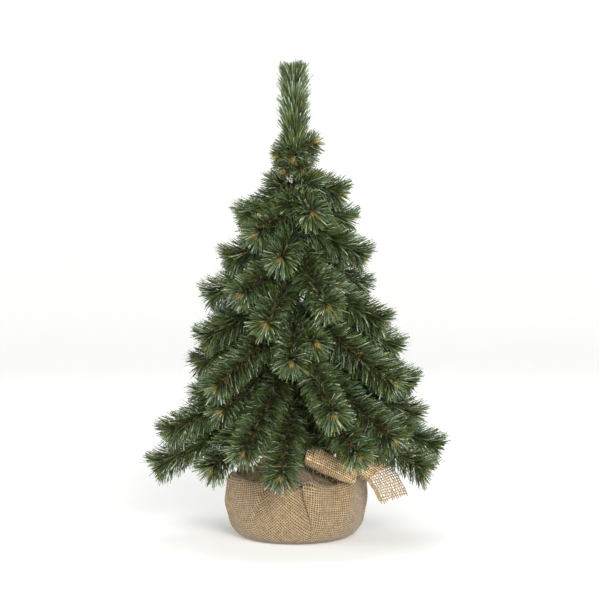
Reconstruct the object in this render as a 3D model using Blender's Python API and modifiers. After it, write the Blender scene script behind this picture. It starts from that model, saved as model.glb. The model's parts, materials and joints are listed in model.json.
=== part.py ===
"""Artificial tabletop tree: bottle-brush branches on a taped rod, in a weighted burlap sack.

Units are metres, +Z is up, and the origin is on the trunk's axis, on the face that the sack
rests on. Azimuth 0 points to the front (-Y) and +90 degrees to the right (+X).
"""
import math

import bmesh
import bpy
from mathutils import Vector

MM = 0.001
NAME = "artificial_tabletop_tree"

# Overall size
TREE_HEIGHT = 600 * MM
GAP = 0.3 * MM                 # kept between pieces that touch
ROUND_STEPS = 28               # segments round a turned piece

# Trunk
ROD_RADIUS = 2.5 * MM
ROD_BOTTOM = 7 * MM
TRUNK_TOP = 456 * MM
TAPE_RADIUS = 4.2 * MM
TAPE_BOTTOM = 114 * MM

# Branches: each one is a twisted wire stem and the needles that it clamps
BRANCH_ROOT = 6 * MM           # the wire's bend, out from the trunk's axis
WIRE_RADIUS = 1.5 * MM         # root of the stem, with its wrapping
BRUSH_RADIUS = 7.5 * MM        # the dense core of the brush
BRUSH_END_RADIUS = 5 * MM
BRUSH_START = 0.24             # share of the stem that is bare
BRUSH_SHOULDER = 0.07          # share of the stem over which the core widens
BRUSH_NARROWS = 0.88           # share of the stem after which the core narrows to its end
BRUSH_BEVEL_STEPS = 2

# Leader, which carries the trunk's line on upwards
LEADER_ROOT = TRUNK_TOP + 2 * MM
LEADER_BRUSH_RADIUS = 9 * MM

# Tiers from the top down: azimuth (degrees), reach (mm), height of the tip (mm), droop (degrees)
TIERS = (
    ((80, 67, 437, 12), (-85, 75, 406, 24), (19, 77, 405, 20), (-40, 86, 381, 24),
     (108, 79, 403, 18), (-118, 75, 390, 16), (165, 70, 426, 14), (-160, 84, 387, 20)),
    ((82, 94, 358, 22), (-85, 94, 354, 18), (-13, 94, 348, 24), (140, 90, 375, 22),
     (110, 100, 317, 26), (155, 106, 329, 24), (-130, 108, 332, 24)),
    ((-97, 119, 307, 22), (-40, 112, 307, 26), (22, 116, 291, 30), (75, 121, 273, 26),
     (-18, 125, 270, 28), (-165, 123, 283, 26), (132, 133, 264, 28)),
    ((-75, 126, 252, 28), (100, 138, 239, 26), (-102, 136, 217, 26), (55, 155, 199, 30),
     (-2, 141, 224, 30), (-130, 137, 254, 26), (155, 149, 206, 28), (-150, 153, 199, 28)),
    ((82, 153, 196, 27), (-42, 153, 196, 30), (-112, 143, 173, 24), (17, 164, 166, 28),
     (100, 166, 149, 26), (-178, 162, 176, 28), (125, 162, 172, 28), (45, 176, 133, 30)),
    ((-65, 180, 139, 26), (-22, 172, 122, 32), (84, 187, 117, 22), (-130, 176, 124, 28),
     (165, 180, 117, 28), (-85, 183, 91, 26), (64, 185, 96, 24), (28, 169, 118, 28),
     (-7, 153, 90, 36), (-44, 155, 96, 36)),
)

# Base
SACK_WALL = 1.5 * MM
SACK_PROFILE = (               # radius and height (mm) of the outer face, from the neck down
    (16, 122), (11, 113), (9, 107), (11, 101), (30, 93), (58, 87), (76, 81), (85, 73),
    (89, 58), (89, 38), (85, 20), (78, 7), (68, 0),
)
NECK_HOLE_RADIUS = 4.8 * MM
TIE_HEIGHT = 107 * MM
TIE_WIRE_RADIUS = 0.8 * MM
TIE_GAP = 1.2 * GAP            # wider than the others, because the ring's inside has flat sides
TIE_STEPS_ROUND = 20
TIE_STEPS_WIRE = 6
BOWL_BOTTOM_RADIUS = 64 * MM
BOWL_TOP_RADIUS = 78 * MM
BOWL_HEIGHT = 68 * MM
BOWL_WALL = 1.6 * MM
WEIGHT_HEIGHT = 30 * MM

# Ribbon: strips along lines of points (mm), each with the direction of its width
RIBBON_WIDTH = 36 * MM
RIBBON_THICKNESS = 1.2 * MM
RIBBON_STEPS_ACROSS = 2
BAND_PROFILE = ((17, 104), (46, 93.5), (46, 92), (17, 102.5))     # radius and height (mm)
KNOT_AT = (38 * MM, -30 * MM, 112 * MM)
KNOT_RADIUS = 9 * MM
KNOT_STEPS = (12, 8)
RIBBON_STRIPS = {
    "ribbon_tail_right": (
        ((56, -38, 106), (78, -46, 101), (98, -52, 91), (111, -56, 75), (121, -58, 56)), (0.93, 0.1, 0.32)),
    "ribbon_loop_right": (
        ((4, -51, 106), (20, -65, 101), (37, -77, 91), (51, -84, 79), (59, -87, 66)), (0.75, 0.15, 0.6)),
    "ribbon_loop_left": (
        ((-20, -28, 110), (-44, -35, 107), (-68, -39, 105), (-92, -41, 105)), (0.1, -0.85, 0.35)),
}

COLOURS = {                    # linear base colour, roughness, metallic
    "needle_green": ((0.035, 0.09, 0.035), 0.55, 0.0),
    "trunk_tape": ((0.05, 0.03, 0.018), 0.8, 0.0),
    "steel_wire": ((0.35, 0.34, 0.32), 0.4, 1.0),
    "cement": ((0.4, 0.39, 0.37), 0.9, 0.0),
    "bowl_plastic": ((0.03, 0.03, 0.03), 0.5, 0.0),
    "burlap": ((0.5, 0.34, 0.18), 0.9, 0.0),
    "ribbon_burlap": ((0.55, 0.38, 0.21), 0.9, 0.0),
}


def clear_scene():
    for old in list(bpy.data.objects):
        bpy.data.objects.remove(old)


def new_collection(name):
    collection = bpy.data.collections.new(name)
    bpy.context.scene.collection.children.link(collection)
    return collection


def make_material(name):
    colour, roughness, metallic = COLOURS[name]
    material = bpy.data.materials.new(name)
    material.use_nodes = True
    shader = material.node_tree.nodes["Principled BSDF"]
    shader.inputs["Base Color"].default_value = (*colour, 1.0)
    shader.inputs["Roughness"].default_value = roughness
    shader.inputs["Metallic"].default_value = metallic
    return material


def place(name, data, material, collection):
    data.materials.append(material)
    obj = bpy.data.objects.new(name, data)
    collection.objects.link(obj)
    return obj


def mesh_from(bm, name):
    mesh = bpy.data.meshes.new(name)
    bm.to_mesh(mesh)
    bm.free()
    return mesh


def turned(name, profile, material, collection):
    """Turn a profile of (radius, height) in metres, outer side first and top to bottom."""
    bm = bmesh.new()
    points = [bm.verts.new((radius, 0, height)) for radius, height in profile]
    for first, second in zip(points, points[1:]):
        bm.edges.new((first, second))
    if profile[0][0] > 0 and profile[-1][0] > 0:
        bm.edges.new((points[-1], points[0]))      # a profile off the axis at both ends is closed
    obj = place(name, mesh_from(bm, name), material, collection)
    screw = obj.modifiers.new("turn", 'SCREW')
    screw.angle = math.tau
    screw.steps = screw.render_steps = ROUND_STEPS
    screw.use_merge_vertices = True
    screw.merge_threshold = 0.01 * MM
    screw.use_smooth_shade = True


def brush(name, length, core_radius, material, collection):
    """A bottle brush along local +X: a bare wire root, then the needles' dense core."""
    shoulder = BRUSH_START + BRUSH_SHOULDER
    stations = (
        (0.0, WIRE_RADIUS),
        (BRUSH_START, WIRE_RADIUS),
        (shoulder, core_radius),
        (BRUSH_NARROWS, core_radius),
        (1.0, BRUSH_END_RADIUS),
    )
    data = bpy.data.curves.new(name, 'CURVE')
    data.dimensions = '3D'
    data.bevel_depth = MM
    data.bevel_resolution = BRUSH_BEVEL_STEPS
    data.use_fill_caps = True
    spline = data.splines.new('POLY')
    spline.points.add(len(stations) - 1)
    for point, (share, radius) in zip(spline.points, stations):
        point.co = (share * length, 0, 0, 1)
        point.radius = radius / MM
    spline.use_smooth = True
    return place(name, data, material, collection)


def make_branches(material, collection):
    """Every branch hangs from its bend on the trunk, which is its joint."""
    number = 0
    for tier in TIERS:
        for azimuth, reach, tip_height, droop in tier:
            number += 1
            slope = math.radians(droop)
            run = reach * MM - BRANCH_ROOT
            branch = brush(f"branch_{number:02d}", run / math.cos(slope), BRUSH_RADIUS, material, collection)
            around = math.radians(azimuth - 90)
            root_height = tip_height * MM + run * math.tan(slope)
            branch.location = (BRANCH_ROOT * math.cos(around), BRANCH_ROOT * math.sin(around), root_height)
            branch.rotation_euler = (0, slope, around)


def make_leader(material, collection):
    leader = brush("leader", TREE_HEIGHT - LEADER_ROOT, LEADER_BRUSH_RADIUS, material, collection)
    leader.location = (0, 0, LEADER_ROOT)
    leader.rotation_euler = (0, -math.pi / 2, 0)


def make_trunk(rod_material, tape_material, collection):
    turned("trunk_rod", (
        (0, TRUNK_TOP), (ROD_RADIUS, TRUNK_TOP), (ROD_RADIUS, ROD_BOTTOM), (0, ROD_BOTTOM),
    ), rod_material, collection)
    bore = ROD_RADIUS + GAP
    turned("trunk_tape", (
        (bore, TRUNK_TOP), (TAPE_RADIUS, TRUNK_TOP), (TAPE_RADIUS, TAPE_BOTTOM), (bore, TAPE_BOTTOM),
    ), tape_material, collection)


def inset_profile(profile, wall):
    """Shift a profile of (radius, height) inwards by a wall, square to its own line."""
    inner = []
    for i, (radius, height) in enumerate(profile):
        before = Vector(profile[max(i - 1, 0)])
        after = Vector(profile[min(i + 1, len(profile) - 1)])
        along = (after - before).normalized()
        inner.append((radius + along.y * wall, height - along.x * wall))
    return inner


def make_sack(material, collection):
    """A closed bag: its wall runs from the gathered neck down and across the bottom."""
    outer = [(radius * MM, height * MM) for radius, height in SACK_PROFILE]
    inner = inset_profile(outer, SACK_WALL)
    floor = (inner[-2][0] - SACK_WALL, SACK_WALL)
    inner = [(max(radius, NECK_HOLE_RADIUS), height) for radius, height in inner[:-1]] + [floor]
    bottom = [(0, 0), (0, SACK_WALL)]
    turned("sack", outer + bottom + inner[::-1], material, collection)


def make_base(weight_material, bowl_material, collection):
    """A plastic bowl inside the sack, with the cement weight that the trunk stands in."""
    floor = SACK_WALL + GAP
    slope = (BOWL_TOP_RADIUS - BOWL_BOTTOM_RADIUS) / BOWL_HEIGHT
    top = floor + BOWL_HEIGHT
    inside = floor + BOWL_WALL
    turned("base_bowl", (
        (BOWL_TOP_RADIUS, top), (BOWL_BOTTOM_RADIUS, floor), (0, floor),
        (0, inside), (BOWL_BOTTOM_RADIUS - BOWL_WALL, inside), (BOWL_TOP_RADIUS - BOWL_WALL, top),
    ), bowl_material, collection)
    bottom = inside + GAP
    bottom_radius = BOWL_BOTTOM_RADIUS - BOWL_WALL - GAP
    top_radius = bottom_radius + slope * WEIGHT_HEIGHT
    socket = ROD_RADIUS + GAP
    socket_floor = ROD_BOTTOM - GAP
    turned("cement_weight", (
        (socket, bottom + WEIGHT_HEIGHT), (top_radius, bottom + WEIGHT_HEIGHT), (bottom_radius, bottom),
        (0, bottom), (0, socket_floor), (socket, socket_floor),
    ), weight_material, collection)


def make_neck_tie(material, collection):
    """The wire that holds the gathered neck."""
    neck = min(radius for radius, height in SACK_PROFILE) * MM
    bpy.ops.mesh.primitive_torus_add(
        major_radius=neck + TIE_WIRE_RADIUS + TIE_GAP, minor_radius=TIE_WIRE_RADIUS,
        major_segments=TIE_STEPS_ROUND, minor_segments=TIE_STEPS_WIRE, location=(0, 0, TIE_HEIGHT))
    tie = bpy.context.object
    tie.name = "neck_tie"
    tie.data.materials.append(material)
    tie.data.shade_smooth()
    for owner in list(tie.users_collection):
        owner.objects.unlink(tie)
    collection.objects.link(tie)


def strip(name, line, across, width, material, collection):
    """A flat band of cloth along a line of points, its width lying along one direction."""
    side = Vector(across).normalized() * (width / 2)
    columns = len(line)
    bm = bmesh.new()
    bmesh.ops.create_grid(bm, x_segments=columns - 1, y_segments=RIBBON_STEPS_ACROSS, size=1)
    for vert in bm.verts:
        column = round((vert.co.x + 1) / 2 * (columns - 1))
        vert.co = Vector(line[column]) * MM + side * vert.co.y
    obj = place(name, mesh_from(bm, name), material, collection)
    solid = obj.modifiers.new("cloth", 'SOLIDIFY')
    solid.thickness = RIBBON_THICKNESS
    solid.offset = 0
    obj.data.shade_smooth()


def make_ribbon(material, collection):
    """One burlap ribbon: a band on the sack's shoulder, a knot, two loops and a long tail."""
    turned("ribbon_band", [(radius * MM, height * MM) for radius, height in BAND_PROFILE],
           material, collection)
    bm = bmesh.new()
    bmesh.ops.create_uvsphere(bm, u_segments=KNOT_STEPS[0], v_segments=KNOT_STEPS[1], radius=KNOT_RADIUS)
    knot = place("ribbon_knot", mesh_from(bm, "ribbon_knot"), material, collection)
    knot.location = KNOT_AT
    knot.data.shade_smooth()
    for name, (line, across) in RIBBON_STRIPS.items():
        strip(name, line, across, RIBBON_WIDTH, material, collection)


def main():
    clear_scene()
    collection = new_collection(NAME)
    materials = {name: make_material(name) for name in COLOURS}
    make_trunk(materials["steel_wire"], materials["trunk_tape"], collection)
    make_base(materials["cement"], materials["bowl_plastic"], collection)
    make_sack(materials["burlap"], collection)
    make_neck_tie(materials["steel_wire"], collection)
    make_ribbon(materials["ribbon_burlap"], collection)
    make_leader(materials["needle_green"], collection)
    make_branches(materials["needle_green"], collection)


main()
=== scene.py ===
"""Looks of the artificial tabletop tree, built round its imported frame.

Lengths in the settings are metres, +Z is up, -Y is the front and +X the right. Azimuth 0 points
to the front and +90 degrees to the right.
"""

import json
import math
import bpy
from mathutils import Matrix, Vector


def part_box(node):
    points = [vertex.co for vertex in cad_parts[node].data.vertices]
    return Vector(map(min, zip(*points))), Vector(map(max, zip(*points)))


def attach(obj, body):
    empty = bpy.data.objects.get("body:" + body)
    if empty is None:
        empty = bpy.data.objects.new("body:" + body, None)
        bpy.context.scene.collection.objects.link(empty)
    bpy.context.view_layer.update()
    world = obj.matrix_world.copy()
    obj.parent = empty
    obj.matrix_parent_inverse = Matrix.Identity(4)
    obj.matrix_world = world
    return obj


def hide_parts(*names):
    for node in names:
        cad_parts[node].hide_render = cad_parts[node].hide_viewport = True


bl_info = {
    "name": "Tabletop Tree",
    "version": (1, 0, 0),
    "blender": (4, 5, 0),
    "location": "View3D > Sidebar > Tree",
    "description": "Builds a bottle-brush fir in a burlap sack",
    "category": "Add Mesh",
}

import bpy
import numpy as np
from bpy.props import FloatProperty, FloatVectorProperty, IntProperty, PointerProperty
from mathutils import Vector, noise

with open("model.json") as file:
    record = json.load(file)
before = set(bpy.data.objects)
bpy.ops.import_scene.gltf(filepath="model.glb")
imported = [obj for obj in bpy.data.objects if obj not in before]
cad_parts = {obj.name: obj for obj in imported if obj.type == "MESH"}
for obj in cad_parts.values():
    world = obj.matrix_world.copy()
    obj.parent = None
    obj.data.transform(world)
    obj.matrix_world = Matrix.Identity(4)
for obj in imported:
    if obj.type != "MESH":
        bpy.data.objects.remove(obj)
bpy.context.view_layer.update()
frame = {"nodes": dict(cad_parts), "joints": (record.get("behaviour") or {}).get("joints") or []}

MM = 0.001
BAKE_MAP = "OFBake"
ROWS = 48                      # rows of the bake map that the needles are spread over
GOLDEN_ANGLE = math.pi * (3 - math.sqrt(5))


def linear(code):
    """An sRGB hex colour as linear numbers."""
    channels = [int(code[i:i + 2], 16) / 255 for i in (1, 3, 5)]
    return tuple(c / 12.92 if c <= 0.04045 else ((c + 0.055) / 1.055) ** 2.4 for c in channels)


# ---------------------------------------------------------------- settings

def mm_setting(name, text, millimetres):
    return FloatProperty(name=name, description=text, default=millimetres * MM, unit='LENGTH')


def angle_setting(name, text, degrees):
    return FloatProperty(name=name, description=text, default=math.radians(degrees), subtype='ANGLE')


def colour_setting(name, text, code):
    return FloatVectorProperty(name=name, description=text, default=linear(code), subtype='COLOR')


def plain_setting(name, text, value):
    return FloatProperty(name=name, description=text, default=value)


class BrushSettings(bpy.types.PropertyGroup):
    needle_length: mm_setting("Needle length", "Film needle from the stem to its cut end", 28)
    needle_width: mm_setting("Needle width", "Width of the cut film strip", 1.08)
    needle_lean: angle_setting("Needle lean", "Angle between a needle and the stem", 52)
    leader_lean: angle_setting("Leader needle lean", "Angle between a needle and the leader's stem", 34)
    tip_droop: mm_setting("Tip droop", "How far a side branch's end hangs below its core's end", 7)
    end_needles: IntProperty(
        name="End needles", description="Extra needles that fill the cut end of a brush", default=120)
    needles_per_mm: plain_setting("Needles per mm", "Needles on each millimetre of stem", 9.5)
    bristle_length: mm_setting("Bristle length", "Short golden bristle round the stem", 10)
    bristles_per_mm: plain_setting("Bristles per mm", "Golden bristles on each millimetre of stem", 4.5)
    wire_radius: mm_setting("Wire radius", "One of the two twisted stem wires", 0.7)
    wire_pitch: mm_setting("Wire pitch", "Length of one twist of the stem", 7)
    deep_green: colour_setting("Deep green", "A third of the needles", "#2b3319")
    mid_green: colour_setting("Mid green", "Fresher needles", "#5b6c30")
    olive_green: colour_setting("Olive green", "Yellowed needles", "#7c7a35")
    blue_green: colour_setting("Blue green", "Cool needles", "#64836a")
    # Painted highlight: a few needles are coloured pale in place of their gloss
    painted_gloss_green: colour_setting("Pale green", "Needles turned to show their pale side", "#c3ccb9")
    bristle_gold: colour_setting("Bristle gold", "Bristles round the stem", "#bda862")
    seed: IntProperty(name="Seed", description="Start of the needles' scatter", default=7)


class JuteSettings(bpy.types.PropertyGroup):
    warp_pitch: mm_setting("Warp pitch", "Distance between two warp threads", 2.6)
    weft_pitch: mm_setting("Weft pitch", "Distance between two weft threads", 3.0)
    sack_cloth: mm_setting("Sack cloth", "Across the round of cloth that wraps the base", 500)
    ribbon_width: mm_setting("Ribbon width", "Width of the cut ribbon", 36)
    cloth_thickness: mm_setting("Cloth thickness", "Thickness of the burlap", 0.9)
    thread_light: colour_setting("Light thread", "Paler yarn", "#dcc093")
    thread_dark: colour_setting("Dark thread", "Browner yarn", "#b08f62")
    # Painted shade in the holes between the threads
    painted_gap_shade: colour_setting("Gap", "Shade in the holes between threads", "#24180c")


class StageSettings(bpy.types.PropertyGroup):
    lens: plain_setting("Lens", "Camera lens in millimetres", 85.0)
    distance: mm_setting("Camera distance", "From the trunk to the camera", 1800)
    camera_height: mm_setting("Camera height", "Above the floor", 360)
    aim_height: mm_setting("Aim height", "Height that the camera looks at", 299.3)
    aim_side: mm_setting("Aim side", "How far right of the trunk the camera looks", 5.5)
    floor_colour: colour_setting("Floor", "Pale floor", "#f6f6f4")
    key_power: plain_setting("Key light", "Power of the large front light", 70.0)
    fill_power: plain_setting("Fill light", "Power of the side light and of the top light", 20.0)
    sky_strength: plain_setting("Room light", "Even light from all round", 0.2)


# ---------------------------------------------------------------- materials

def add_node(tree, kind, links=None, values=None, stops=None, **settings):
    """Add a node with its settings, socket values, ramp stops and incoming links."""
    node = tree.nodes.new(kind)
    for key, value in settings.items():
        setattr(node, key, value)
    for socket, value in (values or {}).items():
        node.inputs[socket].default_value = value
    for socket, source in (links or {}).items():
        tree.links.new(source, node.inputs[socket])
    if stops:
        elements = node.color_ramp.elements
        while len(elements) < len(stops):
            elements.new(0.5)
        for element, (place, colour) in zip(elements, stops):
            element.position = place
            element.color = (*colour, 1.0)
    return node


def add_maths(tree, operation, links, values=None, kind='ShaderNodeMath'):
    """Add a maths node, or a vector maths node by its kind, and give its first output."""
    return add_node(tree, kind, links, values, operation=operation).outputs[0]


def new_material(name, roughness, metallic=0.0, ior=1.5):
    """A material whose surface numbers sit on the shader's own sockets."""
    material = bpy.data.materials.new(name)
    material.use_nodes = True
    shader = material.node_tree.nodes["Principled BSDF"]
    shader.inputs["Roughness"].default_value = roughness
    shader.inputs["Metallic"].default_value = metallic
    shader.inputs["IOR"].default_value = ior
    return material, material.node_tree, shader


def fir_film_pvc(look):
    """Cut PVC film: satin, so a needle is dark along its length with a pale streak of gloss."""
    material, tree, shader = new_material("fir_film_pvc", roughness=0.46, ior=1.53)
    uv = add_node(tree, 'ShaderNodeUVMap', uv_map=BAKE_MAP)
    split = add_node(tree, 'ShaderNodeSeparateXYZ', {0: uv.outputs[0]})
    # Painted shade: each needle darkens and browns towards the stem, and is palest at its cut end
    along = add_node(tree, 'ShaderNodeValToRGB', {0: split.outputs["X"]}, stops=(
        (0.0, (0.1, 0.06, 0.02)), (0.28, (0.3, 0.28, 0.16)), (0.65, (0.76, 0.76, 0.64)),
        (1.0, (1.0, 1.0, 0.88))))
    # Each needle takes a random green; the palest of them is a painted highlight
    by_needle = add_node(tree, 'ShaderNodeValToRGB', {0: split.outputs["Y"]}, stops=(
        (0.0, tuple(look.deep_green)), (0.34, tuple(look.deep_green)), (0.42, tuple(look.mid_green)),
        (0.66, tuple(look.mid_green)), (0.7, tuple(look.olive_green)), (0.78, tuple(look.blue_green)),
        (0.91, tuple(look.blue_green)), (0.96, tuple(look.painted_gloss_green))))
    colour = add_node(tree, 'ShaderNodeMix', {"A": by_needle.outputs[0], "B": along.outputs[0]},
                      {0: 1.0}, data_type='RGBA', blend_type='MULTIPLY')
    tree.links.new(colour.outputs["Result"], shader.inputs["Base Color"])
    return material


def golden_bristle_pvc(look):
    """Short brown film bristles: matt, they give each brush its warm heart."""
    material, tree, shader = new_material("golden_bristle_pvc", roughness=0.6, ior=1.53)
    uv = add_node(tree, 'ShaderNodeUVMap', uv_map=BAKE_MAP)
    split = add_node(tree, 'ShaderNodeSeparateXYZ', {0: uv.outputs[0]})
    gold = tuple(look.bristle_gold)
    # Painted light and shade: each bristle takes a random tone between a shaded and a lit copy of the gold
    painted_shade_gold = tuple(0.35 * c for c in gold)
    painted_lit_gold = tuple(1.3 * c + 0.08 for c in gold)
    tone = add_node(tree, 'ShaderNodeValToRGB', {0: split.outputs["Y"]}, stops=(
        (0.0, painted_shade_gold), (0.5, gold), (1.0, painted_lit_gold)))
    tree.links.new(tone.outputs[0], shader.inputs["Base Color"])
    return material


def galvanised_stem_wire():
    """Twisted stem wire, dulled by its zinc coat: grey with faint mottling."""
    material, tree, shader = new_material("galvanised_stem_wire", roughness=0.6, metallic=0.7)
    uv = add_node(tree, 'ShaderNodeUVMap', uv_map=BAKE_MAP)
    mottle = add_node(tree, 'ShaderNodeTexNoise', {"Vector": uv.outputs[0]}, {"Scale": 40.0, "Detail": 3.0})
    tone = add_node(tree, 'ShaderNodeValToRGB', {0: mottle.outputs["Fac"]}, stops=(
        (0.35, linear("#2c261b")), (0.7, linear("#4a4336"))))
    tree.links.new(tone.outputs[0], shader.inputs["Base Color"])
    return material


def jute_burlap(name, look, across, tone_and_painted_light=1.0):
    """Plain-woven jute: coarse round yarns, dry and hairy, with painted shade in the holes between them and
    along their edges.

    The bake map spans a square of flat cloth, so its threads come from their own millimetres.
    """
    material, tree, shader = new_material(name, roughness=0.92)
    shader.inputs["Sheen Weight"].default_value = 0.15
    shader.inputs["Sheen Roughness"].default_value = 0.6
    uv = add_node(tree, 'ShaderNodeUVMap', uv_map=BAKE_MAP)
    threads = (across / look.warp_pitch, across / look.weft_pitch, 1.0)
    wobble = add_node(tree, 'ShaderNodeTexNoise', {"Vector": uv.outputs[0]},
                      {"Scale": across / (30 * MM), "Detail": 3.0})
    vector = 'ShaderNodeVectorMath'
    shift = add_maths(tree, 'SUBTRACT', {0: wobble.outputs["Color"]}, {1: (0.5, 0.5, 0.5)}, vector)
    small = add_maths(tree, 'MULTIPLY', {0: shift}, {1: (1.6, 1.6, 0.0)}, vector)
    counted = add_maths(tree, 'MULTIPLY', {0: uv.outputs[0]}, {1: threads}, vector)
    place = add_maths(tree, 'ADD', {0: counted, 1: small}, kind=vector)
    axes = add_node(tree, 'ShaderNodeSeparateXYZ', {0: place})
    waves = []
    for axis in ("X", "Y"):
        turn = add_maths(tree, 'MULTIPLY', {0: axes.outputs[axis]}, {1: math.pi})
        waves.append(add_maths(tree, 'SINE', {0: turn}))
    roundness = [add_maths(tree, 'ABSOLUTE', {0: wave}) for wave in waves]
    crossing = add_maths(tree, 'MULTIPLY', {0: waves[0], 1: waves[1]})
    top_thread = add_maths(tree, 'MAXIMUM', {0: roundness[0], 1: roundness[1]})
    yarn = add_node(tree, 'ShaderNodeTexNoise', {"Vector": place},
                    {"Scale": 0.45, "Detail": 5.0, "Roughness": 0.7})
    # The yarn colours are scaled: this sets the cloth's own tone, and on the ribbon it adds painted light
    # as well
    slub = add_node(tree, 'ShaderNodeValToRGB', {0: yarn.outputs["Fac"]}, stops=(
        (0.36, tuple(tone_and_painted_light * c for c in look.thread_dark)),
        (0.62, tuple(tone_and_painted_light * c for c in look.thread_light))))
    # Painted shade: the holes between the threads and the threads' edges take the gap colour
    gap_shade_mask = add_node(tree, 'ShaderNodeMapRange', {"Value": top_thread},
                    {"From Min": 0.55, "From Max": 0.95}, interpolation_type='SMOOTHSTEP')
    cloth = add_node(tree, 'ShaderNodeMix',
                     {0: gap_shade_mask.outputs[0], "B": slub.outputs[0]},
                     {"A": (*look.painted_gap_shade, 1.0)}, data_type='RGBA')
    tree.links.new(cloth.outputs["Result"], shader.inputs["Base Color"])
    under = add_maths(tree, 'MULTIPLY', {0: crossing}, {1: 0.35})
    height = add_maths(tree, 'ADD', {0: top_thread, 1: under})
    bump = add_node(tree, 'ShaderNodeBump', {"Height": height},
                    {"Strength": 0.8, "Distance": 0.8 * MM})
    tree.links.new(bump.outputs[0], shader.inputs["Normal"])
    return material


def jute_yarn(look):
    """Loose jute yarn of the frayed ends: dry, with darker and lighter lengths."""
    material, tree, shader = new_material("jute_yarn", roughness=0.9)
    uv = add_node(tree, 'ShaderNodeUVMap', uv_map=BAKE_MAP)
    streak = add_node(tree, 'ShaderNodeTexNoise', {"Vector": uv.outputs[0]}, {"Scale": 14.0, "Detail": 4.0})
    tone = add_node(tree, 'ShaderNodeValToRGB', {0: streak.outputs["Fac"]}, stops=(
        (0.3, tuple(0.5 * c for c in look.thread_dark)),
        (0.65, tuple(0.66 * c for c in look.thread_light))))
    tree.links.new(tone.outputs[0], shader.inputs["Base Color"])
    return material


def patterned(name, roughness, dark, light, scale, bump_depth, metallic=0.0, detail=5.0):
    """A mottled surface at a scale counted in grains a metre, with a matching fine relief."""
    material, tree, shader = new_material(name, roughness, metallic)
    place = add_node(tree, 'ShaderNodeTexCoord')
    grain = add_node(tree, 'ShaderNodeTexNoise', {"Vector": place.outputs["Object"]},
                     {"Scale": scale, "Detail": detail})
    tone = add_node(tree, 'ShaderNodeValToRGB', {0: grain.outputs["Fac"]}, stops=(
        (0.3, linear(dark)), (0.7, linear(light))))
    tree.links.new(tone.outputs[0], shader.inputs["Base Color"])
    bump = add_node(tree, 'ShaderNodeBump', {"Height": grain.outputs["Fac"]},
                    {"Strength": 0.6, "Distance": bump_depth})
    tree.links.new(bump.outputs[0], shader.inputs["Normal"])
    return material


# ---------------------------------------------------------------- mesh tools

class Pile:
    """Triangles of one piece, gathered shape by shape with their bake coordinates."""

    def __init__(self):
        self.points, self.triangles, self.uvs, self.slots = [], [], [], []
        self.count = 0

    def add(self, points, triangles, uvs, slot):
        """Copies of one shape: points and uvs are (copies, corners, 3 or 2) arrays."""
        copies, corners = points.shape[:2]
        starts = self.count + corners * np.arange(copies)
        faces = (starts[:, None, None] + np.asarray(triangles)[None]).reshape(-1, 3)
        self.points.append(points.reshape(-1, 3))
        self.uvs.append(uvs.reshape(-1, 2))
        self.triangles.append(faces)
        self.slots.append(np.full(len(faces), slot))
        self.count += copies * corners

    def add_tube(self, line, radii, sides, row, slot):
        """A closed tube along a line of points."""
        line = np.asarray(line, float)
        radii = np.broadcast_to(np.asarray(radii, float), len(line))
        tangents = np.gradient(line, axis=0)
        tangents /= np.linalg.norm(tangents, axis=1)[:, None] + 1e-12
        guide = np.array((0.31, 0.52, 0.79))
        across = np.cross(tangents, guide)
        across /= np.linalg.norm(across, axis=1)[:, None] + 1e-12
        up = np.cross(tangents, across)
        angles = math.tau * np.arange(sides) / sides
        ring = (np.cos(angles)[None, :, None] * across[:, None]
                + np.sin(angles)[None, :, None] * up[:, None])
        points = line[:, None] + ring * radii[:, None, None]
        faces = []
        for i in range(len(line) - 1):
            for k in range(sides):
                a, b = i * sides + k, i * sides + (k + 1) % sides
                faces += [(a, b, b + sides), (a, b + sides, a + sides)]
        last = (len(line) - 1) * sides
        for k in range(1, sides - 1):
            faces += [(0, k + 1, k), (last, last + k, last + k + 1)]
        u = np.repeat(np.linspace(0, 1, len(line)), sides)
        v = (row + 0.1 + 0.8 * np.tile(np.arange(sides) / sides, len(line))) / ROWS
        self.add(points.reshape(1, -1, 3), faces, np.stack((u, v), 1)[None], slot)

    def build(self, name, materials, smooth=False):
        points = np.concatenate(self.points).astype(np.float32)
        triangles = np.concatenate(self.triangles).astype(np.int32)
        uvs = np.concatenate(self.uvs).astype(np.float32)
        mesh = bpy.data.meshes.new(name)
        mesh.vertices.add(len(points))
        mesh.vertices.foreach_set("co", points.ravel())
        mesh.loops.add(triangles.size)
        mesh.loops.foreach_set("vertex_index", triangles.ravel())
        mesh.polygons.add(len(triangles))
        mesh.polygons.foreach_set("loop_start", np.arange(0, triangles.size, 3, dtype=np.int32))
        mesh.polygons.foreach_set("material_index", np.concatenate(self.slots).astype(np.int32))
        mesh.polygons.foreach_set("use_smooth", np.full(len(triangles), smooth))
        layer = mesh.uv_layers.new(name=BAKE_MAP)
        layer.data.foreach_set("uv", uvs[triangles.ravel()].ravel())
        for material in materials:
            mesh.materials.append(material)
        mesh.update()
        mesh.validate()
        return place_object(name, mesh)


def place_object(name, data):
    """A new object in the scene's own collection."""
    obj = bpy.data.objects.new(name, data)
    bpy.context.scene.collection.objects.link(obj)
    return obj


def unit(vectors):
    return vectors / (np.linalg.norm(vectors, axis=-1, keepdims=True) + 1e-12)


def ease(x, low, high):
    t = np.clip((x - low) / (high - low), 0, 1)
    return t * t * (3 - 2 * t)


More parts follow.
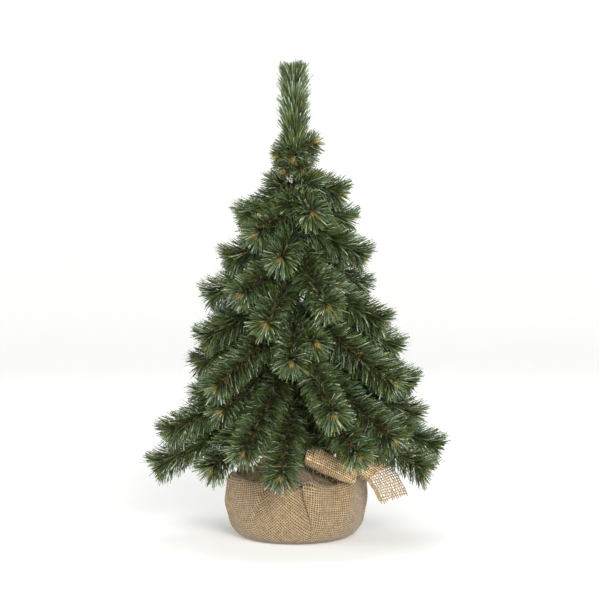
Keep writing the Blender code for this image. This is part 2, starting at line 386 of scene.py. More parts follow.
# A needle: three rings of three corners with cut ends. A bristle: one ring and a point.
NEEDLE_FACES = tuple(
    face for low in (0, 3) for k in range(3)
    for face in ((low + k, low + (k + 1) % 3, low + (k + 1) % 3 + 3),
                 (low + k, low + (k + 1) % 3 + 3, low + k + 3))
) + ((0, 2, 1), (6, 7, 8))
BRISTLE_FACES = ((0, 1, 3), (1, 2, 3), (2, 0, 3), (0, 2, 1))
STRAY_SHARE = 0.02             # share of the needles that point their own way
LEAST_WIRE = 0.4               # least share of a brush's length that its wire reaches
FILM_EDGE = 1 / 5              # half thickness of a needle as a share of its width


def scatter(pile, bases, axes, lengths, leans, width, rng, slot, straight=False):
    """Film strips that leave the stem at bases, all round its local axes, leaning along them."""
    number = len(bases)
    first = unit(np.cross((0.19, 0.11, 0.97) if abs(axes[0, 2]) < 0.9 else (1.0, 0.0, 0.0), axes))
    second = np.cross(axes, first)
    turn = GOLDEN_ANGLE * np.arange(number) + rng.normal(0, 0.25, number)
    radial = np.cos(turn)[:, None] * first + np.sin(turn)[:, None] * second
    direction = np.cos(leans)[:, None] * axes + np.sin(leans)[:, None] * radial
    direction = unit(direction + rng.normal(0, 0.07, (number, 3)))
    tangent = unit(np.cross(direction, radial))
    face = np.cross(direction, tangent)
    twist = rng.uniform(-1.3, 1.3, number)[:, None]
    wide = np.cos(twist) * tangent + np.sin(twist) * face
    thin = np.cross(direction, wide)
    start = bases + radial * 0.4 * MM
    angles = math.tau * np.arange(3) / 3
    ring = (np.cos(angles)[None, :, None] * wide[:, None] * (width / 2)
            + np.sin(angles)[None, :, None] * thin[:, None] * (width * FILM_EDGE))
    end = start + direction * lengths[:, None]
    row = rng.integers(0, ROWS, number)
    v = (row[:, None] + (np.arange(3) / 3 * 0.7 + 0.15)[None, :]) / ROWS
    if straight:
        points = np.concatenate((start[:, None] + ring, end[:, None]), axis=1)
        u = np.tile((0, 0, 0, 1.0), (number, 1))
        v = np.concatenate((v, (row[:, None] + 0.5) / ROWS), axis=1)
        pile.add(points, BRISTLE_FACES, np.stack((u, v), 2), slot)
        return
    bow = (axes * 0.05 + rng.normal(0, 0.018, (number, 3))) * lengths[:, None]
    middle = start + direction * (0.55 * lengths[:, None]) + 0.3 * bow
    points = np.concatenate((start[:, None] + 0.8 * ring, middle[:, None] + ring,
                             (end + bow)[:, None] + ring * 0.85), axis=1)
    u = np.tile((0, 0, 0, 0.55, 0.55, 0.55, 1.0, 1.0, 1.0), (number, 1))
    pile.add(points, NEEDLE_FACES, np.stack((u, np.concatenate((v, v, v), axis=1)), 2), slot)


def add_brush(pile, root, tip, look, rng, lean, bare=0.05, size=1.0, density=1.0, heart=84):
    """One bottle brush: twisted wires, brown bristles and green needles whose cut ends reach the tip."""
    root, tip = np.asarray(root, float), np.asarray(tip, float)
    length = np.linalg.norm(tip - root)
    needle = look.needle_length * size
    cap = needle * math.cos(lean)
    wire_end = max(length - cap, LEAST_WIRE * length)
    along = (tip - root) / length
    covered = wire_end - bare * length

    def at(stations):
        return root + stations[:, None] * along, np.tile(along, (len(stations), 1))

    number = int(covered / MM * look.needles_per_mm * density)
    stations = np.sort(rng.uniform(bare * length, wire_end, number))
    leans = lean + rng.normal(0, 0.12, number)
    stray = rng.random(number) < STRAY_SHARE
    leans = np.where(stray, lean + rng.uniform(-0.5, 0.7, number), leans)
    scatter(pile, *at(stations), needle * rng.uniform(0.86, 1.08, number), leans,
            look.needle_width * size ** 0.5, rng, 0)
    # The end is cut off flat, so needles that point along the stem are the shorter ones
    number = int(look.end_needles * size * density)
    leans = lean * rng.uniform(0.42, 1.15, number)
    scatter(pile, *at(wire_end - rng.uniform(0, 5 * MM, number)),
            np.minimum(cap / np.cos(leans), needle) * rng.uniform(0.86, 1.06, number), leans,
            look.needle_width * size ** 0.5, rng, 0)
    bristles = int(covered / MM * look.bristles_per_mm)
    stations = np.sort(rng.uniform(bare * length, wire_end, bristles))
    scatter(pile, *at(stations), look.bristle_length * rng.uniform(0.6, 1.15, bristles),
            rng.normal(1.0, 0.2, bristles), look.needle_width * 0.8, rng, 1, straight=True)
    if heart:
        scatter(pile, *at(np.full(heart, wire_end)), look.bristle_length * rng.uniform(0.9, 1.75, heart),
                np.abs(rng.normal(0.3, 0.3, heart)), look.needle_width * 0.8, rng, 1, straight=True)
    steps = max(int(wire_end / look.wire_pitch * 6), 8)
    centre, axes = at(np.linspace(0.2 * MM, wire_end, steps))
    first = unit(np.cross((0.19, 0.97, 0.11), axes))
    second = np.cross(axes, first)
    for strand in (0, math.pi):
        turn = math.tau * np.linspace(0, wire_end, steps) / look.wire_pitch + strand
        wire = centre + look.wire_radius * (np.cos(turn)[:, None] * first + np.sin(turn)[:, None] * second)
        pile.add_tube(wire, look.wire_radius, 4, 3, 2)


def stem_of(joint):
    """Where a branch's joint is and where the branch ends, from its CAD node."""
    node = frame["nodes"][joint["child"]]
    root = np.array(joint["pos_m"], float)
    points = np.array([v.co for v in node.data.vertices])
    far = np.linalg.norm(points - root, axis=1)
    return root, points[far > far.max() - 0.2 * MM].mean(0)


def heading(azimuth, rise):
    """A direction from an azimuth round the trunk and a rise above level, in degrees."""
    around, slope = math.radians(azimuth), math.radians(rise)
    level = math.cos(slope)
    return np.array((math.sin(around) * level, -math.cos(around) * level, math.sin(slope)))


def smooth_line(points, samples):
    """A smooth curve through chosen points, as Catmull and Rom draw it."""
    points = np.asarray(points, float)
    padded = np.concatenate((2 * points[:1] - points[1:2], points, 2 * points[-1:] - points[-2:-1]))
    out = []
    for t in np.linspace(0, len(points) - 1, samples):
        i = min(int(t), len(points) - 2)
        f = t - i
        p0, p1, p2, p3 = padded[i:i + 4]
        out.append(0.5 * (2 * p1 + (p2 - p0) * f + (2 * p0 - 5 * p1 + 4 * p2 - p3) * f ** 2
                          + (3 * p1 - p0 - 3 * p2 + p3) * f ** 3))
    return np.array(out)


def furnish(piece, body, node=None):
    """Hang a piece on the body it rides on, and hide the CAD node it stands for."""
    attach(piece, body)
    if node:
        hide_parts(node)


def cloth_piece(name, grid, uvs, material, thickness, ring=False, centre=None):
    """A cloth from a grid of points, with its flat-cloth map and its real thickness."""
    rows, columns = grid.shape[:2]
    points = grid.reshape(-1, 3)
    flat = uvs.reshape(-1, 2)
    wrap = columns if ring else columns - 1
    faces = []
    for i in range(rows - 1):
        for k in range(wrap):
            a, b = i * columns + k, i * columns + (k + 1) % columns
            faces.append((a, b, b + columns, a + columns))
    if centre is not None:
        points = np.concatenate((points, [centre[0]]))
        flat = np.concatenate((flat, [centre[1]]))
        middle = rows * columns
        faces += [(middle, (k + 1) % columns, k) for k in range(columns)]
    mesh = bpy.data.meshes.new(name)
    mesh.from_pydata(points.tolist(), [], faces)
    layer = mesh.uv_layers.new(name=BAKE_MAP)
    corner = np.zeros(len(mesh.loops), np.int32)
    mesh.loops.foreach_get("vertex_index", corner)
    layer.data.foreach_set("uv", flat[corner].astype(np.float32).ravel())
    mesh.materials.append(material)
    mesh.shade_smooth()
    obj = place_object(name, mesh)
    solid = obj.modifiers.new("thickness", 'SOLIDIFY')
    solid.thickness = thickness
    solid.offset = 0
    return obj


def wrinkle(points, size, depth, seed):
    """Soft irregular movement of cloth, in metres, for each point."""
    flat = points.reshape(-1, 3) / size + seed
    values = np.array([noise.noise(Vector(p)) for p in flat])
    return depth * values.reshape(points.shape[:-1])


# ---------------------------------------------------------------- sack

SACK_SIDE = (                  # radius and height (mm) of the cloth, from the middle of the bottom
    (0, 1.3), (30, 1.3), (60, 1.3), (70, 2.6), (78, 8), (84, 20), (86.5, 38), (87, 56), (86.5, 70),
    (84.5, 76.5), (80.5, 76), (74, 73.5), (64, 73.5), (48, 81), (32, 90), (18, 99), (9.5, 104), (8.2, 107),
    (11, 113), (16, 121),
)
# Azimuth (deg) and rise (mm) of the rim
RIM_RISE = ((0, -2.5), (45, -1), (95, 7), (150, 3), (200, 0), (270, 1), (330, 0))
PLEATS = (                     # top and bottom azimuth of the fold's edge (deg), side on top, lift (mm)
    (5, 14, 1, 7.0), (-24, -40, -1, 2.4), (-74, -82, 1, 6.0), (-117, -110, -1, 5.0), (-152, -146, 1, 6.0),
    (172, 166, -1, 5.0), (134, 140, 1, 6.0), (98, 95, -1, 4.5), (63, 50, -1, 2.0),
)
SWELLS = (                     # top and bottom azimuth, width (deg) and height (mm) of dips and ridges
    (1, 9, 4.0, -5.0), (13, 24, 4.5, 5.0), (30, 34, 7, -3.0), (-21, -34, 4.0, -3.0), (-29, -45, 4.5, 3.5),
    (-52, -58, 8, 2.0), (-79, -84, 4.0, -5.0), (-68, -74, 5, 3.0), (52, 40, 6, 2.0),
    (-114, -106, 5, -5.0), (-124, -118, 6, 3.5), (-156, -150, 5, -6.0), (-144, -140, 6, 4.0),
    (176, 170, 5, -5.0), (164, 160, 6, 3.0), (130, 136, 5, -6.0), (142, 148, 6, 4.0),
    (102, 98, 5, -4.0), (90, 88, 6, 3.0),
)
LEAST_KEEP = 0.36              # tightest ring that pleats hold all their cloth in, as a share of it
UNDER_LIFT = -2.2              # lift (mm) of the layer under a fold
FOLD_MARGIN = 0.12             # share of a panel that stays clear of the fold at each end
NECK_RADIUS = 5.4              # least radius (mm) of the tied neck
CLOTH_GAP = 1.4                # from the bowl's face to the middle of the cloth (mm)
SACK_COLUMNS, SACK_ROWS = 600, 80
RIM_REACH = 153                # cloth (mm) from the middle of the bottom up to the bowl's rim
BOWL_RADIUS, BOWL_TOP = 78, 70  # outer radius and height (mm) of the bowl's rim
CLOTH_TURN = 35                # azimuth (deg) where the threads run straight up the wall


def pleated_ring(shrink, rise, share, columns):
    """World azimuth and lift of each column where the ring has shrunk to a share of its cloth.

    Between panel centres the cloth runs forward, back under a fold and forward again, so its own
    length round the ring is kept. rise goes from 0 at the foot of the wall to 1 at its rim.
    """
    places = sorted((top * rise + bottom * (1 - rise), side, lift) for top, bottom, side, lift in PLEATS)
    edges = np.radians([p[0] for p in places])
    ahead = np.append(edges[1:], edges[0] + math.tau)
    centres = (edges + ahead) / 2
    before = np.insert(centres[:-1], 0, centres[-1] - math.tau)
    knots_cloth, knots_world, knots_lift = [], [], []
    for (_, side, lift), edge, start, stop in zip(places, edges, before, centres):
        span = stop - start
        keep = max(shrink, LEAST_KEEP)
        back = (1 - keep) / 2 * span
        fold = np.clip(keep * (edge - start) + (back if side > 0 else 0),
                       FOLD_MARGIN * span, span * (1 - FOLD_MARGIN) - back)
        under = UNDER_LIFT * share
        top = lift * share
        outer = start + fold / keep
        inner = outer - back / keep
        # Right side on top where side > 0: its edge is the inner turn, and the left side runs beneath
        lifts = (0, under, top * 0.6, 0) if side > 0 else (0, top * 0.6, under, 0)
        knots_cloth += [start, start + fold, start + fold + back]
        knots_world += [start, outer, inner]
        knots_lift += [lifts[0], lifts[1], lifts[2]]
    knots_cloth.append(centres[-1])
    knots_world.append(centres[-1])
    knots_lift.append(0)
    cloth = np.linspace(before[0], centres[-1], columns, endpoint=False)
    world = np.interp(cloth, knots_cloth, knots_world)
    lift = np.interp(cloth, knots_cloth, knots_lift)
    return cloth, world, lift


def soften(values, width, period=0.0):
    """A short average along a closed ring, which turns sharp folds into round ones."""
    kernel = np.hanning(2 * width + 3)[1:-1]
    kernel /= kernel.sum()
    padded = np.concatenate((values[-width:] - period, values, values[:width] + period))
    return np.convolve(padded, kernel, 'valid')


def make_sack(look):
    """A round of burlap gathered up round the base in knife pleats and tied at the neck."""
    side = smooth_line([(r, 0, z) for r, z in SACK_SIDE], 500)[:, (0, 2)]
    travelled = np.concatenate(((0,), np.cumsum(np.linalg.norm(np.diff(side, axis=0), axis=1))))
    half = look.sack_cloth / MM / 2
    columns, rows = SACK_COLUMNS, SACK_ROWS
    grid, uvs = np.zeros((rows, columns, 3)), np.zeros((rows, columns, 2))
    rim_degrees, rim_heights = zip(*RIM_RISE, (360, RIM_RISE[0][1]))
    reaches = np.linspace(0.015, 1, rows) ** 0.9 * min(half, travelled[-1])
    for i, reach in enumerate(reaches):
        radius, height = np.interp(reach, travelled, side[:, 0]), np.interp(reach, travelled, side[:, 1])
        near, far = max(reach - 2, 0), min(reach + 2, travelled[-1])
        along = np.array((np.interp(far, travelled, side[:, 0]) - np.interp(near, travelled, side[:, 0]),
                          np.interp(far, travelled, side[:, 1]) - np.interp(near, travelled, side[:, 1])))
        along /= np.linalg.norm(along)
        normal = np.array((along[1], -along[0]))
        shrink = min(radius / reach, 1.0)
        rise = float(ease(reach, 84, 150))
        swell = float(ease(reach, 80, 128)) * (1 - 0.55 * float(ease(reach, 175, 225)))
        cloth, azimuth, lift = pleated_ring(shrink, rise, swell, columns)
        step = math.tau * reach / columns
        round_off = int(np.clip(2.2 / max(step, 0.02), 1, 40))
        azimuth = soften(azimuth, round_off, math.tau)
        lift = soften(lift, int(round_off * 1.6) + 1)
        gather = float(ease(reach, 148, 185)) * (1 - 0.6 * float(ease(reach, 214, 226)))
        lift = lift + gather * (2.4 * np.sin(cloth * 54 + 1.2 * np.sin(cloth * 5)) + np.sin(cloth * 91))
        degrees = np.degrees(azimuth)
        dips = np.zeros(columns)
        for top, bottom, width, tall in SWELLS:
            gap = (degrees - top * rise - bottom * (1 - rise) + 180) % 360 - 180
            dips += tall * np.exp(-(gap / width) ** 2)
        move = lift + dips * swell * (1 - float(ease(reach, 152, 176)))
        rim = np.interp(degrees % 360, rim_degrees, rim_heights)
        shoulder = float(ease(reach, 110, 150) * (1 - ease(reach, 158, 172)))
        out = np.maximum(radius + move * normal[0], NECK_RADIUS)
        grid[i, :, 0] = out * np.sin(azimuth)
        grid[i, :, 1] = -out * np.cos(azimuth)
        grid[i, :, 2] = height + move * normal[1] + rim * shoulder
        turned = cloth - math.radians(CLOTH_TURN)
        uvs[i, :, 0] = 0.5 + reach * np.sin(turned) / (2 * half)
        uvs[i, :, 1] = 0.5 - reach * np.cos(turned) / (2 * half)
    soft = wrinkle(grid, 30.0, 2.6, 3.1) * ease(grid[..., 2], 3, 18)
    grid += unit(grid * (1, 1, 0)) * soft[..., None]
    # The cloth stays outside the bowl's wall and over its rim
    out = np.hypot(grid[..., 0], grid[..., 1])
    below = (reaches < RIM_REACH)[:, None]
    on_wall = below & (grid[..., 2] > 40)
    grid[..., :2] *= (np.where(on_wall, np.maximum(out, BOWL_RADIUS + CLOTH_GAP), out) / out)[..., None]
    on_rim = ~below & (out > BOWL_RADIUS - 6) & (out < BOWL_RADIUS + CLOTH_GAP)
    grid[..., 2] = np.maximum(grid[..., 2], np.where(on_rim, BOWL_TOP + CLOTH_GAP, 1.0))
    material = jute_burlap("jute_burlap_sack", look, look.sack_cloth, tone_and_painted_light=0.55)
    sack = cloth_piece("sack_cloth", grid * MM, np.clip(uvs, 0.001, 0.999), material, look.cloth_thickness,
                       ring=True, centre=((0, 0, 1.3 * MM), (0.5, 0.5)))
    furnish(sack, "base", "sack")


# ---------------------------------------------------------------- ribbon

def ribbon_grid(path, sides, width, bulge, samples=46, across=13):
    """A strip along a path; side vectors give its width, and bulge crowns it."""
    line = smooth_line(path, samples)
    side = unit(smooth_line(sides, samples)) * (width / 2)
    ahead = unit(np.gradient(line, axis=0))
    normal = unit(np.cross(ahead, side))
    t = np.linspace(-1, 1, across)
    grid = line[None] + t[:, None, None] * side[None]
    crown = bulge * (1 - t ** 2)[:, None, None] * normal[None]
    return grid + crown, normal


def strip_uvs(grid, span):
    """Map a strip's rows and columns to its share of a square of flat cloth."""
    step = np.linalg.norm(np.diff(grid, axis=1), axis=2).mean(0)
    along = np.concatenate(((0,), np.cumsum(step)))
    rise = np.linalg.norm(np.diff(grid, axis=0), axis=2).mean(1)
    across = np.concatenate(((0,), np.cumsum(rise)))
    uvs = np.zeros((*grid.shape[:2], 2))
    uvs[..., 0] = 0.02 + along[None] / span
    uvs[..., 1] = 0.02 + across[:, None] / span
    return uvs, across[-1], along[-1]


RIBBON_SPAN = 160.0            # mm of flat cloth that a ribbon's bake map covers


def ribbon_piece(name, grid, look, material, node):
    """A strip of ribbon with small wrinkles, and the flat size of its cloth in metres."""
    grid = grid + wrinkle(grid, 17.0, 1.3, 8.4)[..., None] * np.array((0.3, -0.6, 0.7))
    uvs, width, length = strip_uvs(grid, RIBBON_SPAN)
    piece = cloth_piece(name, grid * MM, uvs, material, look.cloth_thickness)
    furnish(piece, "base", node)
    return piece, (width * MM, length * MM)


SAG = np.array((0, 0, 0.12))   # how far a loose end hangs, as a share of its length


def fringe(pile, edge, outward, rng, longest):
    """Loose yarn ends that stand out of a cut edge."""
    spots = np.arange(0, len(edge) - 1, 0.999)
    for spot in spots:
        i = int(spot)
        start = edge[i] + (edge[min(i + 1, len(edge) - 1)] - edge[i]) * rng.uniform(0.2, 0.8)
        length = longest * rng.uniform(0.45, 1.0)
        bend = rng.normal(0, 0.22, 3)
        line = [start + length * (outward[i] * t + (bend - SAG) * t * t) for t in np.linspace(0, 1, 5)]
        pile.add_tube(np.array(line) * MM, 0.55 * MM, 5, rng.integers(0, ROWS), 0)


def make_ribbon(look):
    rng = np.random.default_rng(23)
    # The ribbon's burlap is made paler than the sack's: painted light on cloth that the branches shade
    material = jute_burlap("jute_burlap_ribbon", look, RIBBON_SPAN * MM, tone_and_painted_light=1.28)
    yarn = jute_yarn(look)
    width = look.ribbon_width / MM

    # Band round the gathered neck, lying on the sack's shoulder
    turns = np.linspace(0, math.tau, 150, endpoint=False)
    t = np.linspace(0, 1, 12)
    radius = 15 + 31 * t[:, None] + 1.6 * np.sin(turns * 17)[None] * (1 - 0.5 * t[:, None])
    height = 106 - 12 * t[:, None] + 1.8 * np.sin(turns * 17 + 1.0)[None] + 1.5 * np.sin(turns * 5)[None]
    band = np.stack((radius * np.sin(turns), -radius * np.cos(turns), height), 2)
    uvs = np.zeros((12, 150, 2))
    uvs[..., 0] = 0.5 + (20 + 31 * t[:, None]) * np.sin(turns) / RIBBON_SPAN
    uvs[..., 1] = 0.5 + (20 + 31 * t[:, None]) * np.cos(turns) / RIBBON_SPAN
    piece = cloth_piece("ribbon_band_cloth", band * MM, uvs, material, look.cloth_thickness, ring=True)
    furnish(piece, "base", "ribbon_band")

    # Loop that crosses the front: a lit upper face, a fold, and an under face with a frayed edge
    fold_line = smooth_line(
        ((12, -68, 106), (28, -73, 99), (44, -77, 92), (60, -78, 84), (73, -74, 77)), 46)
    back_way = unit(np.array((0.22, 0.62, 0.75)))
    under_way = unit(np.array((-0.12, 0.84, -0.53)))
    columns = np.linspace(0, 1, 46)
    rows = []
    for t in np.linspace(1, 0, 9):
        rows.append(fold_line + back_way * (width * 0.68 * t * (1 - 0.25 * columns[:, None]))
                    + np.array((0, 0, 1)) * 3.0 * math.sin(math.pi * t))
    for t in np.linspace(0.12, 1, 7):
        taper = np.sin(np.pi * np.clip(0.25 + 0.75 * columns, 0, 1))[:, None] ** 0.6
        rows.append(fold_line + under_way * (width * 0.5 * t * taper) + back_way * 1.2)
    loop = np.array(rows)
    piece, flat = ribbon_piece("ribbon_loop_right_cloth", loop, look, material, "ribbon_loop_right")
    pile = Pile()
    edge = loop[-1][2:34:2]
    fringe(pile, edge, np.broadcast_to(under_way, edge.shape), rng, 7)
    # One pulled yarn stands up from the loop's fold
    stray = smooth_line(((69, -79, 81), (73, -84, 86), (79, -87, 93), (85, -86, 99), (91, -83, 104)), 24)
    pile.add_tube(stray * MM, 0.75 * MM, 6, 11, 0)
    threads = pile.build("ribbon_loop_fringe", [yarn], smooth=True)
    furnish(threads, "base")

    # Left loop, mostly hidden by the branches
    grid, _ = ribbon_grid(
        ((-20, -28, 112), (-44, -35, 110), (-68, -39, 109), (-92, -41, 107)),
        ((0.1, -0.8, 0.4), (0.1, -0.85, 0.35), (0.05, -0.85, 0.3), (0, -0.9, 0.2)), width, 4)
    piece, flat = ribbon_piece("ribbon_loop_left_cloth", grid, look, material, "ribbon_loop_left")

    # Knot: the ribbon wound tight over itself
    u = np.linspace(0, math.tau, 64, endpoint=False)
    v = np.linspace(-1, 1, 22)
    ridges = 1.3 * np.sin(v[:, None] * 9 + 0.8 * np.sin(u)[None] * 2)
    body = 8.6 + ridges
    squeeze = np.sqrt(np.maximum(1 - (v[:, None] * 0.93) ** 2, 0.02))
    low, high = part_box("ribbon_knot")
    middle = np.array((low + high) / 2) / MM
    knot = np.stack((
        middle[0] + 11.5 * v[:, None] + 0 * u[None],
        middle[1] + body * squeeze * np.cos(u)[None],
        middle[2] + body * squeeze * np.sin(u)[None]), 2)
    knot_uvs = np.stack(np.broadcast_arrays(
        0.2 + (v[:, None] + 1) * 0.1, 0.2 + u[None] / math.tau * 0.4), 2)
    piece = cloth_piece("ribbon_knot_cloth", knot * MM, knot_uvs, material, look.cloth_thickness, ring=True)
    furnish(piece, "base", "ribbon_knot")

    # Tail: it falls to the right, and its end has lost most of its cross threads
    tail_path = ((54, -37, 107), (78, -46, 102), (98, -52, 92), (111, -56, 76), (121, -58, 57))
    tail_sides = ((0.5, 0.4, 0.7), (0.7, 0.3, 0.6), (0.86, 0.1, 0.45), (0.95, 0.1, 0.28), (0.97, 0.1, 0.22))
    tail, normal = ribbon_grid(tail_path, tail_sides, width, 3)
    cloth_end = 27                 # column where the woven cloth stops
    piece, flat = ribbon_piece("ribbon_tail_cloth", tail[:, :cloth_end], look, material,
                               "ribbon_tail_right")
    pile = Pile()
    spots = np.linspace(-1, 1, len(tail))

    def tail_at(column, place):
        low = min(int(column), tail.shape[1] - 2)
        pair = [np.array([np.interp(place, spots, tail[:, c, k]) for k in range(3)])
                for c in (low, low + 1)]
        return pair[0] + (pair[1] - pair[0]) * (column - low)

    last = tail.shape[1] - 1
    # Threads along the tail: close together at its left selvedge, further apart over the rest
    lengthwise = np.concatenate((np.linspace(-1, -0.78, 4), np.linspace(-0.62, 0.98, 11)))
    for k, place in enumerate(lengthwise):
        wave, stop = rng.uniform(0, math.tau), last + rng.uniform(-0.5, 3.2)
        thread = [tail_at(c, place + 0.025 * math.sin(0.7 * c + wave))
                  + normal[-1] * 0.7 * math.cos(1.7 * c + math.pi * k)
                  for c in np.arange(cloth_end - 3, stop, 0.5)]
        pile.add_tube(np.array(thread) * MM, 0.72 * MM, 5, k % ROWS, 0)
    for k, column in enumerate(np.arange(cloth_end, last + 0.2, 1.75)):
        tilt, left, right = rng.uniform(-0.5, 0.5), rng.uniform(-1.12, -1.02), rng.uniform(1.0, 1.1)
        thread = [tail_at(column + tilt * place + 0.25 * math.sin(4 * place + k), place)
                  + normal[-1] * 0.7 * math.cos(18 * place + math.pi * k)
                  for place in np.linspace(left, right, 44)]
        pile.add_tube(np.array(thread) * MM, 0.72 * MM, 5, (k + 20) % ROWS, 0)
    side_edge = tail[0][8:cloth_end:2]
    outward = np.broadcast_to(unit(np.array((-0.8, -0.1, -0.5))), side_edge.shape)
    fringe(pile, side_edge, outward, rng, 4)
    threads = pile.build("ribbon_tail_threads", [yarn], smooth=True)
    furnish(threads, "base")


# ---------------------------------------------------------------- operators

LIGHT_AIM = 0.28               # height (m) that the lights point at
FLOOR_FLAT, FLOOR_BEND = 3.4, 1.6      # flat radius and radius of the upward curve (m)
FLOOR_SIDES = 96


class TREE_OT_camera(bpy.types.Operator):
    """Camera on a long lens, level with the lower branches"""
    bl_idname = "tree.camera"
    bl_label = "Camera"

    def execute(self, context):
        stage = context.scene.tree_stage
        data = bpy.data.cameras.new("camera")
        data.lens = stage.lens
        data.sensor_width = 36
        camera = place_object("camera", data)
        camera.location = (stage.aim_side, -stage.distance, stage.camera_height)
        look = Vector((0, stage.distance, stage.aim_height - stage.camera_height))
        camera.rotation_euler = look.to_track_quat('-Z', 'Y').to_euler()
        context.scene.camera = camera
        return {'FINISHED'}


class TREE_OT_stage(bpy.types.Operator):
    """Pale round floor that curves up at its edge, with soft studio light"""
    bl_idname = "tree.stage"
    bl_label = "Stage"

    def execute(self, context):
        stage = context.scene.tree_stage
        curve = [(FLOOR_FLAT + FLOOR_BEND * math.sin(a), FLOOR_BEND - FLOOR_BEND * math.cos(a))
                 for a in np.linspace(0, math.pi / 2, 16)]
        profile = [(0.01, 0), (1.5, 0)] + curve + [(FLOOR_FLAT + FLOOR_BEND, 2.8)]
        around = [math.tau * k / FLOOR_SIDES for k in range(FLOOR_SIDES)]
        points = [(r * math.cos(a), r * math.sin(a), z) for r, z in profile for a in around]
        faces = [tuple(range(FLOOR_SIDES))]
        for low in range(0, (len(profile) - 1) * FLOOR_SIDES, FLOOR_SIDES):
            for k in range(FLOOR_SIDES):
                beside = (k + 1) % FLOOR_SIDES
                faces.append((low + k, low + beside, low + FLOOR_SIDES + beside, low + FLOOR_SIDES + k))
        mesh = bpy.data.meshes.new("floor")
        mesh.from_pydata(points, [], faces)
        mesh.shade_smooth()
        floor = place_object("floor", mesh)
        material, tree, shader = new_material("seamless_paper", roughness=0.95)
        shader.inputs["Base Color"].default_value = (*stage.floor_colour, 1.0)
        # The paper's far edge is lit on its own, so it stays as pale as the floor
        spot = add_node(tree, 'ShaderNodeNewGeometry')
        far = add_node(tree, 'ShaderNodeVectorMath', {0: spot.outputs["Position"]}, operation='LENGTH')
        glow = add_node(tree, 'ShaderNodeMapRange', {"Value": far.outputs["Value"]},
                        {"From Min": 0.25, "From Max": 1.3, "To Min": 0.1, "To Max": 0.36},
                        interpolation_type='SMOOTHSTEP')
        shader.inputs["Emission Color"].default_value = (1, 1, 1, 1)
        tree.links.new(glow.outputs[0], shader.inputs["Emission Strength"])
        mesh.materials.append(material)
        lights = (
            ("key", (0.7, -2.3, 1.0), 1.1, stage.key_power),
            ("fill", (-1.9, -0.9, 1.1), 1.2, stage.fill_power),
            ("top", (0.1, 0.5, 2.3), 1.5, stage.fill_power),
        )
        for name, place, size, power in lights:
            data = bpy.data.lights.new(name, 'AREA')
            data.energy = power
            data.size = size
            light = place_object(name, data)
            light.location = place
            aim = Vector((0, 0, LIGHT_AIM)) - Vector(place)
            light.rotation_euler = aim.to_track_quat('-Z', 'Y').to_euler()
        world = bpy.data.worlds.new("room")
        world.use_nodes = True
        world.node_tree.nodes["Background"].inputs[0].default_value = (1, 1, 1, 1)
        world.node_tree.nodes["Background"].inputs[1].default_value = stage.sky_strength
        context.scene.world = world
        context.scene.view_settings.view_transform = 'Standard'
        return {'FINISHED'}


# Azimuth (deg), height (mm), rise (deg) and length (mm) of the leader's small tips
COLLAR = (
    (-6, 494, -40, 34), (-78, 486, -12, 32), (62, 490, 16, 36), (150, 488, -10, 38), (-150, 492, 5, 36),
    (20, 476, -30, 36), (-40, 478, -34, 36),
)
# The same of the brushes near the trunk
INNER = (
    (35, 452, -14, 50), (-60, 448, -12, 48), (120, 446, -10, 52), (-130, 442, -10, 52), (-10, 430, -20, 56),
    (75, 396, -16, 60), (-40, 390, -22, 60), (160, 394, -14, 62), (-110, 384, -14, 62), (20, 352, -24, 66),
    (-70, 346, -20, 66), (110, 340, -16, 70), (-160, 336, -16, 70), (-20, 300, -24, 76), (60, 296, -22, 76),
    (-100, 290, -18, 80), (150, 288, -18, 80), (10, 250, -22, 84), (-55, 246, -20, 84), (95, 240, -18, 88),
    (-145, 236, -18, 88), (45, 206, -20, 90), (-25, 200, -22, 90), (-90, 196, -18, 92), (135, 194, -18, 92),
    (22, 140, -24, 92), (14, 138, -30, 78), (30, 150, -22, 104), (-30, 150, -22, 100), (58, 148, -20, 108),
    (4, 152, -25, 96), (-62, 148, -18, 104),
    (15, 160, -16, 92), (-65, 158, -14, 92), (80, 156, -14, 92), (170, 156, -14, 92), (-120, 150, -12, 92),
)


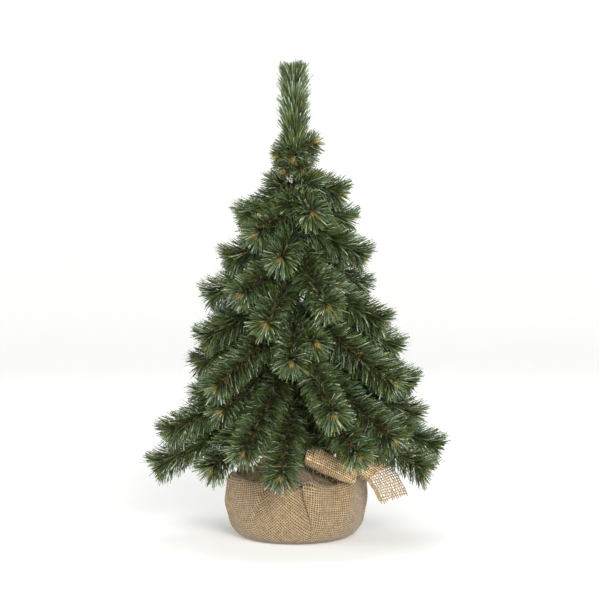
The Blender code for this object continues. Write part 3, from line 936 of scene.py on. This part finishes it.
class TREE_OT_branches(bpy.types.Operator):
    """Leader and branches, each a bottle brush with its side twigs on its own joint"""
    bl_idname = "tree.branches"
    bl_label = "Branches"

    def execute(self, context):
        look = context.scene.tree_brush
        materials = [fir_film_pvc(look), golden_bristle_pvc(look), galvanised_stem_wire()]
        for order, joint in enumerate(frame["joints"]):
            root, tip = stem_of(joint)
            name = joint["child"]
            rng = np.random.default_rng(look.seed + order)
            pile = Pile()
            if name == "leader":
                tip = tip + np.array((-3 * MM, 0, 0))      # the leader is a little bent
                add_brush(pile, root, tip, look, rng, look.leader_lean, size=1.1, density=1.5)
                for azimuth, height, rise, length in COLLAR:
                    way = heading(azimuth, rise)
                    start = np.array((0, 0, height * MM))
                    add_brush(pile, start, start + way * length * MM, look, rng, look.needle_lean,
                              bare=0.1, size=0.72)
            else:
                tip = tip - np.array((0, 0, look.tip_droop)) * abs(unit(tip - root)[0])
                add_brush(pile, root, tip, look, rng, look.needle_lean)
                length = np.linalg.norm(tip - root)
                along = (tip - root) / length
                azimuth = math.degrees(math.atan2(along[0], -along[1]))
                rise = math.degrees(math.asin(along[2]))
                if length > 88 * MM and (order % 3 == 0 or abs(azimuth) > 118):
                    start = root + (tip - root) * rng.uniform(0.3, 0.42)
                    way = heading(azimuth + rng.choice((-34, 34)), rise + rng.uniform(4, 12))
                    add_brush(pile, start, start + way * length * 0.42, look, rng,
                              look.needle_lean, bare=0.03, size=0.92)
            piece = pile.build(name + "_brush", materials)
            furnish(piece, name, name)
        rng = np.random.default_rng(look.seed + 900)
        for part, brushes in enumerate((INNER[0::2], INNER[1::2])):
            pile = Pile()
            for azimuth, height, rise, length in brushes:
                way = heading(azimuth, rise)
                start = np.array((0, 0, height * MM)) + way * 5 * MM
                add_brush(pile, start, start + way * length * 0.74 * MM, look, rng, look.needle_lean,
                          bare=0.02, heart=0)
            furnish(pile.build(f"inner_brushes_{part + 1}", materials), "base")
        return {'FINISHED'}


class TREE_OT_trunk(bpy.types.Operator):
    """Finishes of the rod, the tape and the hidden pieces of the base"""
    bl_idname = "tree.trunk"
    bl_label = "Trunk and base"

    def execute(self, context):
        finishes = {
            # Crepe paper tape: dark, matt, with fine crinkles
            "trunk_tape": patterned("crepe_paper_tape", 0.85, "#241a10", "#3b2b1b", 700, 0.3 * MM),
            # Drawn steel rod with a thin dull skin
            "trunk_rod": patterned("drawn_steel_rod", 0.4, "#77736c", "#97928a", 300, 0.05 * MM,
                                   metallic=1.0),
            # Cast cement: pale grey with sand grains about a millimetre across
            "cement_weight": patterned("cast_cement", 0.95, "#8c8881", "#b4b0a8", 900, 0.5 * MM),
            # Moulded polypropylene, black with a fine spark-eroded grain
            "base_bowl": patterned("moulded_polypropylene", 0.5, "#161616", "#242424", 1200, 0.1 * MM),
            # Annealed binding wire, dark from its oxide
            "neck_tie": patterned("annealed_binding_wire", 0.5, "#3b3a38", "#5a5856", 500,
                                  0.05 * MM, metallic=1.0),
        }
        for name, material in finishes.items():
            node = frame["nodes"][name]
            if not node.material_slots:
                node.data.materials.append(material)
            node.material_slots[0].material = material
        return {'FINISHED'}


class TREE_OT_sack(bpy.types.Operator):
    """Round of burlap gathered up round the base"""
    bl_idname = "tree.sack"
    bl_label = "Sack"

    def execute(self, context):
        make_sack(context.scene.tree_jute)
        return {'FINISHED'}


class TREE_OT_ribbon(bpy.types.Operator):
    """Burlap ribbon with its band, loops, knot and frayed tail"""
    bl_idname = "tree.ribbon"
    bl_label = "Ribbon"

    def execute(self, context):
        make_ribbon(context.scene.tree_jute)
        return {'FINISHED'}


STEPS = (TREE_OT_camera, TREE_OT_stage, TREE_OT_trunk, TREE_OT_branches, TREE_OT_sack, TREE_OT_ribbon)


class TREE_PT_panel(bpy.types.Panel):
    bl_label = "Tabletop Tree"
    bl_idname = "TREE_PT_panel"
    bl_space_type = 'VIEW_3D'
    bl_region_type = 'UI'
    bl_category = "Tree"

    def draw(self, context):
        for step in STEPS:
            self.layout.operator(step.bl_idname)
        for group in (context.scene.tree_brush, context.scene.tree_jute, context.scene.tree_stage):
            box = self.layout.box()
            for name in group.__annotations__:
                box.prop(group, name)


CLASSES = (BrushSettings, JuteSettings, StageSettings, *STEPS, TREE_PT_panel)


def register():
    for item in CLASSES:
        bpy.utils.register_class(item)
    bpy.types.Scene.tree_brush = PointerProperty(type=BrushSettings)
    bpy.types.Scene.tree_jute = PointerProperty(type=JuteSettings)
    bpy.types.Scene.tree_stage = PointerProperty(type=StageSettings)


def unregister():
    del bpy.types.Scene.tree_brush, bpy.types.Scene.tree_jute, bpy.types.Scene.tree_stage
    for item in reversed(CLASSES):
        bpy.utils.unregister_class(item)


def main():
    register()
    bpy.ops.tree.camera()
    bpy.ops.tree.stage()
    bpy.ops.tree.trunk()
    bpy.ops.tree.branches()
    bpy.ops.tree.sack()
    bpy.ops.tree.ribbon()


if __name__ == "__main__":
    main()
